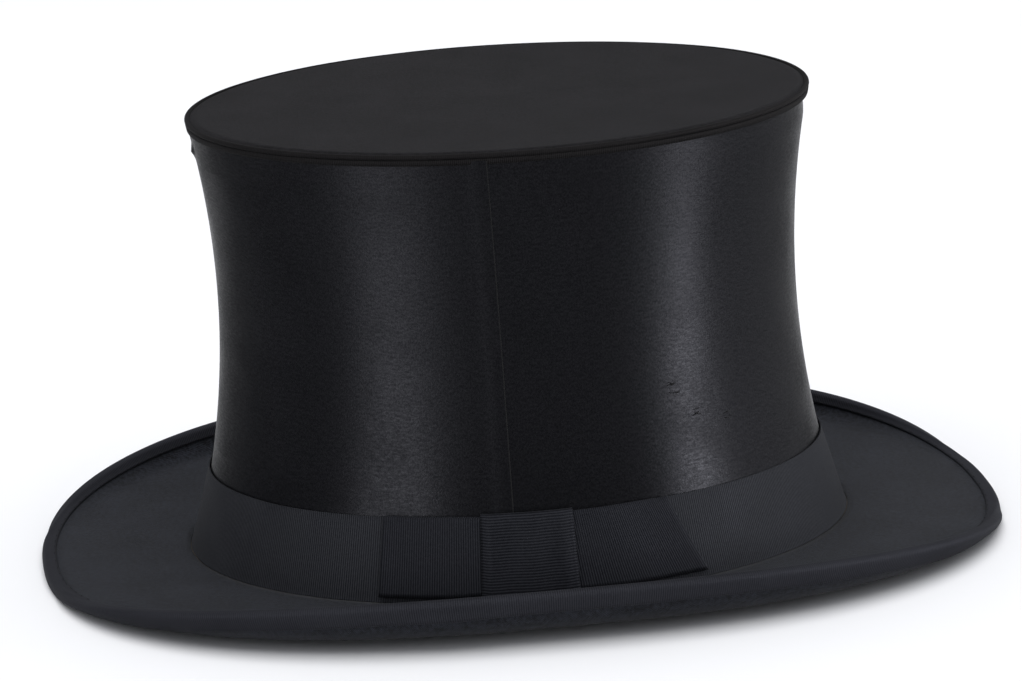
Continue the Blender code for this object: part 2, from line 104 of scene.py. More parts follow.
class Nodes:
    """A short way to build one material's nodes."""

    def __init__(self, name):
        self.material = bpy.data.materials.new(name)
        self.material.use_nodes = True
        self.tree = self.material.node_tree
        self.shader = self.tree.nodes["Principled BSDF"]

    def add(self, kind, **inputs):
        node = self.tree.nodes.new(kind)
        for key, value in inputs.items():
            if key in node.bl_rna.properties and key not in node.inputs:
                setattr(node, key, value)
            else:
                self.put(node, key, value)
        return node

    def feed(self, socket, value):
        if isinstance(value, bpy.types.NodeSocket):
            self.tree.links.new(value, socket)
        else:
            socket.default_value = value

    def put(self, node, key, value):
        self.feed(node.inputs[key if key in node.inputs else key.replace("_", " ")], value)

    def set(self, **inputs):
        for key, value in inputs.items():
            self.put(self.shader, key, value)

    def cloth_uv(self, across=1.0, up=1.0):
        """The cloth's own coordinates in metres, scaled."""
        uv = self.add("ShaderNodeUVMap", uv_map="cloth")
        return self.add("ShaderNodeMapping", Vector=uv.outputs[0], Scale=(across, up, 1)).outputs[0]

    def place(self, scale=(1, 1, 1)):
        """Coordinates on the object, in metres, scaled."""
        coordinates = self.add("ShaderNodeTexCoord")
        return self.add("ShaderNodeMapping", Vector=coordinates.outputs["Object"], Scale=scale).outputs[0]

    def noise(self, vector, scale, detail=3.0, roughness=0.55):
        return self.add("ShaderNodeTexNoise", Vector=vector, Scale=scale, Detail=detail, Roughness=roughness).outputs[0]

    def ribs(self, vector, pitch, distortion):
        """Ridges a pitch apart along X. One turn of the wave is pi / 10 of its scaled coordinate."""
        shape = {"Scale": math.pi / 10 / pitch, "Distortion": distortion, "Detail": 2, "Detail_Scale": 1.5}
        return self.add("ShaderNodeTexWave", Vector=vector, **shape).outputs["Fac"]

    def spread(self, value, low, high, to_low=0, to_high=1):
        """A value from one range to another."""
        ends = {"From_Min": low, "From_Max": high, "To_Min": to_low, "To_Max": to_high}
        return self.add("ShaderNodeMapRange", Value=value, **ends).outputs[0]

    def mix(self, share, first, second):
        node = self.add("ShaderNodeMix", data_type="RGBA")
        for index, value in ((0, share), (6, first), (7, second)):
            self.feed(node.inputs[index], (*value, 1) if isinstance(value, tuple) else value)
        return node.outputs[2]

    def math(self, operation, first, second):
        node = self.add("ShaderNodeMath", operation=operation)
        self.feed(node.inputs[0], first)
        self.feed(node.inputs[1], second)
        return node.outputs[0]

    def weigh(self, first, weight, second, other):
        """The sum of two values, each times its weight."""
        return self.math("ADD", self.math("MULTIPLY", first, weight), self.math("MULTIPLY", second, other))

    def bump(self, height, depth, strength=1.0, under=None):
        node = self.add("ShaderNodeBump", Height=height, Distance=depth, Strength=strength)
        if under is not None:
            self.put(node, "Normal", under)
        return node.outputs[0]


EDGE_TINT = (0.6, 0.6, 0.6, 1)


def satin_material():
    """Black silk satin. Its threads lie so that a light draws out into an upright streak.

    The shader's metal side is used because its edge tint keeps the sheen from climbing at the silhouette.
    """
    n = Nodes("crown_satin")
    threads = n.noise(n.cloth_uv(1900, 1300), 1.0, 3.0, 0.65)
    slubs = n.noise(n.cloth_uv(420, 900), 1.0, 3.0)
    clouds = n.noise(n.cloth_uv(), 34.0, 5.0, 0.6)
    grain = n.noise(n.cloth_uv(480, 1500), 1.0, 3.0, 0.7)
    shade = n.weigh(threads, 0.72, slubs, 0.28)
    n.set(
        Base_Color=n.mix(n.spread(shade, 0.40, 0.60), (0.0084, 0.0085, 0.0098), (0.0152, 0.0153, 0.0172)),
        Metallic=1.0,
        Specular_Tint=EDGE_TINT,
        Roughness=n.spread(n.math("ADD", clouds, grain), 0.80, 1.20, 0.36, 0.54),
        Anisotropic=0.82,
        Anisotropic_Rotation=0.25,
    )
    n.set(Tangent=n.add("ShaderNodeTangent", direction_type="RADIAL", axis="Z").outputs[0])
    n.set(Normal=n.bump(grain, 0.00007, 0.6, n.bump(shade, 0.00006, 0.6)))
    return n.material


def cloth_material(name, dark, light, weave=0.00042, sheen=0.08):
    """A mat woven cloth with a faint twill, its nap worn in patches."""
    n = Nodes(name)
    uv = n.cloth_uv()
    turned = n.add("ShaderNodeMapping", Vector=uv, Rotation=(0, 0, math.radians(58))).outputs[0]
    twill = n.ribs(turned, weave, 1.2)
    fuzz = n.noise(uv, 720.0, 5.0, 0.75)
    clouds = n.noise(uv, 38.0, 5.0, 0.6)
    wear = n.weigh(fuzz, 0.82, clouds, 0.18)
    n.set(
        Base_Color=n.mix(n.spread(wear, 0.40, 0.60), dark, light),
        Roughness=n.spread(fuzz, 0.3, 0.7, 0.72, 0.95),
        Specular_IOR_Level=0.08,
        Sheen_Weight=sheen,
        Sheen_Roughness=0.5,
    )
    n.set(Normal=n.bump(n.weigh(twill, 0.5, fuzz, 0.5), 0.00022, 0.8))
    return n.material


def ribbon_material(name, pitch=0.00074, dark=(0.0066, 0.0069, 0.0090), light=(0.0285, 0.0295, 0.0345)):
    """Black grosgrain: close ribs across the ribbon, each a corded thread."""
    n = Nodes(name)
    uv = n.cloth_uv()
    ribs = n.ribs(uv, pitch, 0.5)
    threads = n.noise(n.cloth_uv(900, 5200), 1.0, 2.0)
    clouds = n.noise(uv, 55.0, 4.0)
    specks = n.noise(uv, 900.0, 3.0, 0.7)
    shade = n.weigh(ribs, 0.4, n.weigh(clouds, 0.5, specks, 0.5), 0.6)
    n.set(
        Base_Color=n.mix(n.spread(shade, 0.25, 0.8), dark, light),
        Metallic=0.5,
        Specular_Tint=EDGE_TINT,
        Roughness=n.spread(clouds, 0.3, 0.7, 0.58, 0.74),
        Specular_IOR_Level=0.0,
        Sheen_Weight=0.04,
        Sheen_Roughness=0.4,
    )
    height = n.math("ADD", ribs, n.math("MULTIPLY", threads, 0.25))
    n.set(Normal=n.bump(height, 0.00008, 0.6))
    return n.material


def lining_material():
    """Dark satin with faint gathers."""
    n = Nodes("lining_satin")
    uv = n.cloth_uv()
    threads = n.noise(n.cloth_uv(700, 5000), 1.0, 2.0)
    ripple = n.noise(n.cloth_uv(220, 26), 1.0, 3.0)
    n.set(
        Base_Color=n.mix(n.noise(uv, 45.0, 4.0), (0.016, 0.015, 0.018), (0.040, 0.038, 0.043)),
        Roughness=n.spread(ripple, 0.3, 0.7, 0.36, 0.50),
        Specular_IOR_Level=0.5,
        Sheen_Weight=0.2,
        Sheen_Roughness=0.35,
    )
    n.set(Normal=n.bump(ripple, 0.0005, 0.5, n.bump(threads, 0.00003, 0.5)))
    return n.material


def leather_material():
    """Brown sweatband leather: fine grain, darker where it has been worn."""
    n = Nodes("sweatband_leather")
    uv = n.cloth_uv()
    cells = n.add("ShaderNodeTexVoronoi", Vector=uv, Scale=1500.0, feature="F1").outputs["Distance"]
    creases = n.noise(n.cloth_uv(1, 2.2), 420.0, 6.0, 0.65)
    stain = n.noise(uv, 24.0, 5.0, 0.6)
    worn = n.noise(n.cloth_uv(1, 4), 90.0, 4.0)
    base = n.mix(n.spread(stain, 0.35, 0.65), (0.105, 0.050, 0.022), (0.235, 0.125, 0.060))
    n.set(
        Base_Color=n.mix(n.spread(worn, 0.56, 0.74, 0, 0.5), base, (0.065, 0.033, 0.017)),
        Roughness=n.spread(stain, 0.3, 0.7, 0.42, 0.60),
        Specular_IOR_Level=0.45,
        Coat_Weight=0.06,
        Coat_Roughness=0.35,
    )
    n.set(Normal=n.bump(creases, 0.00016, 0.6, n.bump(cells, 0.00010, 0.5)))
    return n.material


def board_material():
    """Stiffened felt-like board, its fibres lying flat."""
    n = Nodes("millinery_board")
    fibres = n.noise(n.place((1200, 1200, 300)), 1.0, 4.0, 0.7)
    spots = n.noise(n.place(), 160.0, 5.0)
    n.set(
        Base_Color=n.mix(n.spread(spots, 0.3, 0.7), (0.085, 0.067, 0.052), (0.155, 0.130, 0.105)),
        Roughness=0.93,
    )
    n.set(Normal=n.bump(fibres, 0.00008, 0.7))
    return n.material


def metal_material(name, dark, light, roughness, scratch):
    """Drawn or rolled steel: fine marks along it, dull in patches."""
    n = Nodes(name)
    marks = n.noise(n.place(scratch), 1.0, 3.0, 0.7)
    patches = n.noise(n.place(), 230.0, 5.0, 0.65)
    n.set(
        Base_Color=n.mix(n.spread(patches, 0.35, 0.68), light, dark),
        Metallic=1.0,
        Roughness=n.spread(n.math("ADD", patches, marks), 0.6, 1.4, roughness - 0.08, roughness + 0.16),
    )
    n.set(Normal=n.bump(marks, 0.00003, 0.5))
    return n.material


def thread_material(name, dark, light):
    n = Nodes(name)
    twist = n.noise(n.place((3000, 3000, 3000)), 1.0, 2.0)
    n.set(
        Base_Color=n.mix(twist, dark, light),
        Roughness=n.spread(twist, 0.3, 0.7, 0.55, 0.8),
        Specular_IOR_Level=0.12,
    )
    n.set(Normal=n.bump(twist, 0.00005, 0.7))
    return n.material


SATIN = satin_material()
BRIM_CLOTH = cloth_material("brim_cloth", (0.0019, 0.0023, 0.0040), (0.0192, 0.0213, 0.0288))
TIP_CLOTH = cloth_material("tip_cloth", (0.0007, 0.0006, 0.0009), (0.0124, 0.0115, 0.0134), 0.00050, 0.02)
GROSGRAIN = ribbon_material("grosgrain_ribbon")
# Painted light: the band is the same black grosgrain as the bow, painted lighter to stand in for more light on its
# upright wall.
BAND_GROSGRAIN_PAINTED_LIGHTER = ribbon_material("grosgrain_band_painted_lighter", 0.00074, (0.0092, 0.0096, 0.0122), (0.0390, 0.0405, 0.0455))
KNOT_GROSGRAIN = ribbon_material("grosgrain_knot", 0.00090)
# Painted light: the binding is the same black grosgrain as the bow, painted lighter to stand in for more light on its
# near face.
BINDING_GROSGRAIN_PAINTED_LIGHTER = ribbon_material("grosgrain_binding_painted_lighter", 0.00070, (0.0125, 0.0129, 0.0160), (0.0360, 0.0368, 0.0435))
PIPING_CLOTH = ribbon_material("piping_cloth", 0.00060, (0.0055, 0.0052, 0.0054), (0.0185, 0.0175, 0.0180))
LINING = lining_material()
LEATHER = leather_material()
BOARD = board_material()
STEEL = metal_material("blued_steel", (0.22, 0.22, 0.235), (0.33, 0.33, 0.35), 0.34, (90, 90, 2600))
SPRING = metal_material("spring_wire", (0.20, 0.19, 0.185), (0.50, 0.49, 0.48), 0.27, (900, 900, 900))
THREAD = thread_material("black_thread", (0.004, 0.004, 0.005), (0.014, 0.014, 0.016))
SEAM_THREAD = thread_material("seam_thread", (0.0022, 0.0022, 0.0027), (0.0080, 0.0080, 0.0092))
TAN_THREAD = thread_material("tan_thread", (0.14, 0.085, 0.045), (0.30, 0.20, 0.12))


# ---- geometry helpers


def smooth(x):
    x = min(1.0, max(0.0, x))
    return x * x * (3 - 2 * x)


def ripple(angle, height, seed, size):
    """Slow unevenness round a ring: a few waves of fixed phases, about -size to size."""
    source = random.Random(seed)
    total = 0.0
    for order in (2, 3, 5, 8, 13):
        phase, tilt = source.uniform(0, math.tau), source.uniform(-25, 25)
        total += math.sin(order * angle + phase + tilt * height) / order**0.5
    return total * size / 2.4


def surface(name, rows, material, closed=False, uv=None, thickness=None, offset=-1, disc=0, up_from=0.0):
    """A surface through rows of points. Its UV map is the cloth's own, in metres: along a row, then up the rows.

    disc is 1 or -1 for rows that run in from a rim: the last row is closed, and the disc faces up or down.
    """
    rows = [[Vector(p) for p in row] for row in rows]
    bm = bmesh.new()
    layer = bm.loops.layers.uv.new("cloth")
    made = [[bm.verts.new(p) for p in row] for row in rows]
    columns = len(rows[0])
    spans = columns if closed else columns - 1
    middle = rows[len(rows) // 2]
    along = [0.0]
    for i in range(spans):
        along.append(along[-1] + (middle[(i + 1) % columns] - middle[i]).length)
    up = [up_from]
    for near, far in zip(rows, rows[1:]):
        up.append(up[-1] + (far[0] - near[0]).length)
    for r in range(len(rows) - 1):
        for i in range(spans):
            j = (i + 1) % columns
            corners = ((r, i, i), (r, j, i + 1), (r + 1, j, i + 1), (r + 1, i, i))
            face = bm.faces.new([made[a][b] for a, b, _ in corners])
            face.smooth = True
            for loop, (a, _, c) in zip(face.loops, corners):
                loop[layer].uv = uv(rows[a][c % columns]) if uv else (along[c], up[a])
    if disc:
        hub = bm.verts.new(sum(rows[-1], Vector()) / columns)
        for i in range(columns):
            face = bm.faces.new((made[-1][i], made[-1][(i + 1) % columns], hub))
            face.smooth = True
            for loop in face.loops:
                loop[layer].uv = uv(loop.vert.co)
    if disc < 0:
        bmesh.ops.reverse_faces(bm, faces=bm.faces)
    return finish_mesh(name, bm, material, thickness, offset)


def seen_flat(point):
    """A cloth's coordinates as it lies seen from above."""
    return point.x, point.y


def finish_mesh(name, bm, material, thickness=None, offset=-1):
    """An object from a finished mesh, with a thickness if it is a single layer."""
    mesh = bpy.data.meshes.new(name)
    bm.to_mesh(mesh)
    bm.free()
    piece = bpy.data.objects.new(name, mesh)
    bpy.context.scene.collection.objects.link(piece)
    mesh.materials.append(material)
    if thickness is not None:
        shell = piece.modifiers.new("thickness", "SOLIDIFY")
        shell.thickness = thickness
        shell.offset = offset
        shell.use_quality_normals = True
    return piece


def assign(piece, body, node=None):
    """Ties a piece to its body, and hides the CAD node it stands in for."""
    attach(piece, body)
    if node:
        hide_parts(node)


def fold_down(piece, low, high):
    """Gives a piece its own copy of its mesh. Low and high are not used."""
    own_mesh(piece)


def soften(piece, width, degrees):
    """Bevels the edges that turn by more than some degrees."""
    bevel = piece.modifiers.new("edges", "BEVEL")
    bevel.width = width
    bevel.segments = 2
    bevel.limit_method = "ANGLE"
    bevel.angle_limit = math.radians(degrees)


def tube(bm, points, radius, sides=8, closed=False):
    """A round tube along points, added to a mesh, with its UV along and round it."""
    layer = bm.loops.layers.uv["cloth"]
    points = [Vector(p) for p in points]
    count = len(points)
    rings, length, normal = [], [0.0], None
    step_round = math.tau * radius / sides
    for i, p in enumerate(points):
        before = points[i - 1] if i or closed else p
        after = points[(i + 1) % count] if i < count - 1 or closed else p
        direction = (after - before).normalized()
        if normal is None:
            normal = direction.orthogonal().normalized()
        normal = (normal - direction * normal.dot(direction)).normalized()
        side = direction.cross(normal)
        turns = [math.tau * k / sides for k in range(sides)]
        rings.append([bm.verts.new(p + (normal * math.cos(t) + side * math.sin(t)) * radius) for t in turns])
        if i:
            length.append(length[-1] + (p - points[i - 1]).length)
    length.append(length[-1] + (points[0] - points[-1]).length)
    for i in range(count if closed else count - 1):
        near, far = rings[i], rings[(i + 1) % count]
        shift = 0
        if closed and i == count - 1:
            shift = min(range(sides), key=lambda s: (far[s].co - near[0].co).length)
        for k in range(sides):
            m = (k + 1) % sides
            face = bm.faces.new((near[k], near[m], far[(m + shift) % sides], far[(k + shift) % sides]))
            face.smooth = True
            for loop, (end, turn) in zip(face.loops, ((i, k), (i, k + 1), (i + 1, k + 1), (i + 1, k))):
                loop[layer].uv = (length[end], turn * step_round)
    if not closed:
        bm.faces.new(rings[0][::-1])
        bm.faces.new(rings[-1])


def cloth_bmesh():
    bm = bmesh.new()
    bm.loops.layers.uv.new("cloth")
    return bm


def oval_point(half, angle, z=0.0):
    return Vector((half[0] * math.cos(angle), half[1] * math.sin(angle), z))


def grown(half, by):
    return half[0] + by, half[1] + by


def between(a, b, share):
    return tuple(p + (q - p) * share for p, q in zip(a, b))


def satin_oval(height):
    """The satin's oval at a height above the foot, as in the CAD."""
    if height < BAND_HEIGHT:
        return between(SATIN_AT_FOOT, SATIN_AT_BAND, height / BAND_HEIGHT)
    t = (height - BAND_HEIGHT) / (CROWN_HEIGHT - BAND_HEIGHT)
    weights = ((1 - t) * (1 - 2 * t), 4 * t * (1 - t), t * (2 * t - 1))
    ovals = (SATIN_AT_BAND, SATIN_AT_WAIST, SATIN_AT_TIP)
    return tuple(sum(w * oval[k] for w, oval in zip(weights, ovals)) for k in (0, 1))


def angles(count=AROUND):
    return [math.tau * i / count for i in range(count)]


def steps(low, high, count):
    return [low + (high - low) * i / count for i in range(count + 1)]


def grid(up, along, point):
    """Rows of points: one row for each value up, and in it one point for each value along."""
    return [[point(u, a) for a in along] for u in up]


# ---- brim


def brim_section(angle):
    """The brim's middle surface from its edge in to the crown's foot, as points and their distance along it."""
    cosine, sine = math.cos(angle), math.sin(angle)
    power = 2 / BRIM_SQUARENESS
    foot = np.array([BRIM_FOOT[0] * cosine, BRIM_FOOT[1] * sine])
    edge = np.array(
        [
            math.copysign(BRIM_HALF[0] * abs(cosine) ** power, cosine),
            math.copysign(BRIM_HALF[1] * abs(sine) ** power, sine),
        ]
    )
    length = np.linalg.norm(edge - foot)
    side = max(0.0, (abs(sine) - FLAT_END) / (1 - FLAT_END))
    share = 1 - (1 - np.linspace(0, 1, 81)) ** 2
    turn = np.clip(1 - (1 - share) * length / CURL_WIDTH, 0, 1)
    curl = (1 - np.sqrt(1 - 0.98 * turn**2)) / (1 - math.sqrt(0.02))
    points = np.empty((81, 3))
    points[:, :2] = foot + (edge - foot) * share[:, None]
    points[:, 2] = BRIM_MID_Z + SIDE_SLOPE * side**1.5 * share - END_DIP * share**1.3
    points[:, 2] += CURL_RISE * side**0.89 * curl
    points = points[::-1]
    run = np.concatenate([[0], np.cumsum(np.linalg.norm(np.diff(points, axis=0), axis=1))])
    return points, run


class Brim:
    """The brim's middle surface, sampled once: point(column, inset, height) is a place on or off it."""

    def __init__(self):
        self.angles = angles()
        self.sections = [brim_section(a) for a in self.angles]

    def on(self, column, inset):
        points, run = self.sections[column % AROUND]
        if inset > run[-1]:
            inward = points[-1] - points[-8]
            inward[2] = 0
            return Vector(points[-1] + inward / np.linalg.norm(inward) * (inset - run[-1]))
        return Vector([np.interp(inset, run, points[:, k]) for k in range(3)])

    def point(self, column, inset, height):
        reach = 0.0002
        across = self.on(column, max(inset - reach, 0)) - self.on(column, inset + reach)
        around = self.on(column + 1, inset) - self.on(column - 1, inset)
        return self.on(column, inset) + across.cross(around).normalized() * height

    def width(self, column):
        return self.sections[column][1][-1]


BRIM = Brim()


def brim_inset(column, outer, inner, share):
    """How far in from the edge a row lies: from outer, close together there, to inner past the crown's foot."""
    return outer + (BRIM.width(column) + inner - outer) * share**1.25


def brim_board():
    """The stiff board between the brim's two cloths, as finely divided as they are."""

    def point(share, column):
        return BRIM.point(column, brim_inset(column, 0.0026, UNDER_REACH, share), BOARD_THICKNESS / 2)

    rows = grid(steps(0, 1, 30), range(AROUND), point)
    piece = surface("brim_board_layer", rows, BOARD, closed=True, thickness=BOARD_THICKNESS)
    assign(piece, "base", "brim_board")


def brim_cloth(name, node, height, inner, seed):
    """The cloth on one face of the brim, from under the binding to the oval of its opening."""

    def point(share, column):
        lift = ripple(BRIM.angles[column], share * 0.1, seed, 0.00012) * math.sin(math.pi * share)
        return BRIM.point(column, brim_inset(column, 0.0016, inner, share), height + lift)

    rows = grid(steps(0, 1, 26), range(AROUND), point)
    if height < 0:
        rows = rows[::-1]
    piece = surface(name, rows, BRIM_CLOTH, closed=True, uv=seen_flat, thickness=0.0004)
    assign(piece, "base", node)


def binding():
    """Grosgrain folded over the brim's edge: narrower on top than underneath, and lifted at one place beneath."""
    top, back = 0.0046, 0.0062
    section = [(top, 0.00172), (top - 0.0002, 0.00200), (top - 0.0009, 0.00206)]
    section += [(inset, 0.00205) for inset in (0.0029, 0.0021, 0.0014)]
    section += [(0.0008, 0.00188), (0.0004, 0.00155), (0.0001, 0.00105), (0, 0.0005)]
    under = [(0, -0.0005), (0.0001, -0.00105), (0.0004, -0.00155), (0.0008, -0.00188)]
    under += [(inset, -0.00205) for inset in (0.0014, 0.0022, 0.0031, 0.0041, back - 0.0012)]
    under += [(back - 0.0003, -0.00203), (back, -0.00172)]

    def point(place, column):
        inset, height = place
        angle, lifted = BRIM.angles[column], 0
        waver = ripple(angle, 0, 21 if height > 0 else 22, 0.00022) * smooth((inset - 0.001) / 0.003)
        if height < 0:
            lifted = smooth(1 - abs(math.degrees(angle) - 79) / 7) * smooth((inset - 0.0030) / 0.003)
        return BRIM.point(column, inset + waver, height - 0.00075 * lifted)

    rows = grid(section + under, range(AROUND), point)
    piece = surface("brim_binding_ribbon", rows[::-1], BINDING_GROSGRAIN_PAINTED_LIGHTER, closed=True, thickness=0.0004)
    assign(piece, "base", "brim_binding")


def binding_stitches():
    """Small stitches along both edges of the binding."""
    bm = cloth_bmesh()
    for height, inset, first in ((0.00215, 0.0041, 0), (-0.00198, 0.0056, 1)):
        for column in range(first, AROUND, 2):
            here = BRIM.point(column, inset, height)
            there = BRIM.point(column + 1, inset, height)
            start, end = here.lerp(there, 0.15), here.lerp(there, 0.60)
            tube(bm, [start, (start + end) / 2, end], 0.00011, 5)
    assign(finish_mesh("binding_stitches", bm, THREAD), "base")


# ---- crown

SEAM_TOP, SEAM_FOOT = 81.4, 82.9
SEAM_LAP, SEAM_RISE, SEAM_RADIUS = 0.0014, 0.00034, 0.078
BUMP_HEIGHT, BUMP_RADIUS, BUMP_SIZE = 0.1305, 0.098, 0.0016  # where a top bracket pushes the satin out
LOW_CUT, HIGH_CUT = 0.0338, 0.1272  # the cloth between these heights above the foot folds
SNAGS = ((115.8, 59.4), (117.2, 57.6), (121.6, 49.6), (129.4, 46.2))


def satin_point(angle, height):
    """The satin's surface: the CAD's oval with the marks of the frame behind it and of wear."""
    half = satin_oval(height)
    up = (height - BAND_HEIGHT) / (CROWN_HEIGHT - BAND_HEIGHT)
    rear = max(0.0, -math.cos(angle)) ** 3
    half = grown(half, -0.0018 * rear * smooth((up - 0.90) / 0.09))
    out = ripple(angle, height, 31, 0.00022) * smooth(up * 4)
    for bracket in (0, math.pi):
        away = (angle - bracket + math.pi) % math.tau - math.pi
        beside, above = away * BUMP_RADIUS / BUMP_SIZE, (height - BUMP_HEIGHT) / BUMP_SIZE
        out += 0.0011 * (math.exp(-(beside**2)) * math.exp(-(above**2)))
    return oval_point(grown(half, out), angle, FOOT + height)


def in_three(name, heights, rows, material, closed=True, thickness=None):
    """A wall of cloth as three pieces that meet edge to edge: one on each ring, and one between them.

    The cloth stays flat over the rings and brackets.
    """
    low, high = heights.index(LOW_CUT), heights.index(HIGH_CUT)
    made, run = {}, 0.0
    for part, first, last, body, holder in (
        ("foot", 0, low, "base", "collar"),
        ("fold", low, high, "base", "tip_ring"),
        ("head", high, len(rows) - 1, "crown_top", "tip_ring"),
    ):
        piece = surface(
            f"{name}_{part}", rows[first : last + 1], material, closed=closed, thickness=thickness, up_from=run
        )
        run += heights[last] - heights[first]
        if thickness is not None:
            piece.modifiers["thickness"].use_rim = False
        assign(piece, body)
        if part == "fold":
            fold_down(piece, FOOT + LOW_CUT, FOOT + HIGH_CUT)
        made[part] = piece
    return made


def seam_angle(height):
    up = max(0.0, (height - BAND_HEIGHT) / (CROWN_HEIGHT - BAND_HEIGHT))
    return math.radians(SEAM_FOOT + (SEAM_TOP - SEAM_FOOT) * up)


def crown_satin():
    """One cloth drawn round the crown and lapped at an upright seam on the wearer's left, its edge whipped down."""
    lap = SEAM_LAP / SEAM_RADIUS
    heights = [-0.0002, 0.012, 0.024, BAND_HEIGHT, 0.0275, 0.0300, 0.0320]
    heights += steps(LOW_CUT, HIGH_CUT, 62)[:-1] + [HIGH_CUT]
    heights += steps(HIGH_CUT, CROWN_HEIGHT - 0.0024, 7)[1:]
    turns = [-lap, -0.6 * lap, -0.2 * lap, 0.2 * lap, 0.7 * lap, 1.4 * lap, 2.4 * lap, 3.6 * lap]
    turns += steps(5 * lap, math.tau - 5 * lap, AROUND - 12)
    turns += [math.tau + x * lap for x in (-3.6, -2.4, -1.4, -0.7, -0.3, 0, 0.25, 0.5)]
    rows, edge = [], []
    for height in heights:
        seam = seam_angle(height)
        row = []
        for turn in turns:
            point = satin_point(seam + turn, height)
            over = smooth((turn - (math.tau - 3.5 * lap)) / (2.6 * lap))
            row.append(point + outward_at(point) * SEAM_RISE * over)
        rows.append(row)
        ridge = satin_point(seam + 0.5 * lap, height)
        out = outward_at(ridge)
        ahead = Vector((-out.y, out.x, 0))
        shape = ((-0.00024, SEAM_RISE), (-0.00008, SEAM_RISE + 0.00006), (0.00006, SEAM_RISE + 0.00004), (0.00012, 0))
        edge.append([ridge + ahead * along + out * off for along, off in shape])
    pieces = in_three("crown_satin", heights, rows, SATIN, False, 0.00028)
    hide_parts("satin_side")
    in_three("crown_seam", heights, edge, SEAM_THREAD, False)


def outward_at(point):
    return Vector((point.x / 0.0955**2, point.y / 0.077**2, 0)).normalized()


def snag(bm, degrees, height, source):
    """A pulled weft thread: a short level loop standing off the satin."""
    base = satin_point(math.radians(degrees), height)
    outward = outward_at(base)
    side = Vector((-outward.y, outward.x, source.uniform(-0.35, 0.35)))
    size = source.uniform(0.0006, 0.0013)
    points = [base + outward * ((1 - s * s) * 0.00028 + 0.00004) + side * s * size for s in steps(-1, 1, 8)]
    tube(bm, points, 0.00012, 5)


def snags():
    bm = cloth_bmesh()
    source = random.Random(5)
    for degrees, above_foot in SNAGS:
        for _ in range(3):
            snag(bm, degrees + source.uniform(-0.7, 0.7), (above_foot + source.uniform(-1, 1)) * MM, source)
    piece = finish_mesh("satin_snags", bm, THREAD)
    assign(piece, "base")
    fold_down(piece, FOOT + LOW_CUT, FOOT + HIGH_CUT)


def side_lining():
    """The lining behind the arms, one cloth gathered in soft upright folds."""
    low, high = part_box("side_lining")[0].z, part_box("side_lining")[1].z

    def point(share, angle):
        z = low + (high - low) * share
        fold = 0.00038 * math.sin(72 * angle + 1.5 * math.sin(5 * angle)) * math.sin(math.pi * share) ** 0.5
        return oval_point(grown(satin_oval(z - FOOT), fold - 0.0017), angle, z)

    rows = grid(steps(0, 1, 44), angles(AROUND * 2), point)
    piece = surface("side_lining_cloth", rows, LINING, closed=True, thickness=0.0003)
    assign(piece, "base", "side_lining")
    fold_down(piece, low, high)


def band():
    """The grosgrain band: flared to the brim, with a firm selvedge at each edge."""

    def point(share, angle):
        height = BAND_HEIGHT * share
        edge = max(0.0, 1 - min(share, 1 - share) / 0.035)
        out = 0.00075 + ripple(angle, height, 41, 0.00014) + 0.00010 * edge
        top = ripple(angle, 0, 42, 0.00020) * share
        return oval_point(grown(satin_oval(height), out), angle, FOOT + height + top)

    shares = (0, 0.006, 0.03, 0.06, 0.1, 0.2, 0.35, 0.5, 0.65, 0.8, 0.9, 0.94, 0.97, 0.994, 1)
    rows = grid(shares, angles(), point)
    piece = surface("hat_band_ribbon", rows, BAND_GROSGRAIN_PAINTED_LIGHTER, closed=True, thickness=0.00042)
    assign(piece, "base", "hat_band")


# ---- bow

BOW_FOOT, BOW_TOP = 0.0020, 0.0262
LOOP_FRONT = 59.5
KNOT = (77.5, 91.5)
TAIL_FOOT, TAIL_TOP = 117.3, 111.8


def on_band(degrees, height, off):
    return oval_point(grown(satin_oval(min(height, BAND_HEIGHT)), 0.0008 + off), math.radians(degrees), FOOT + height)


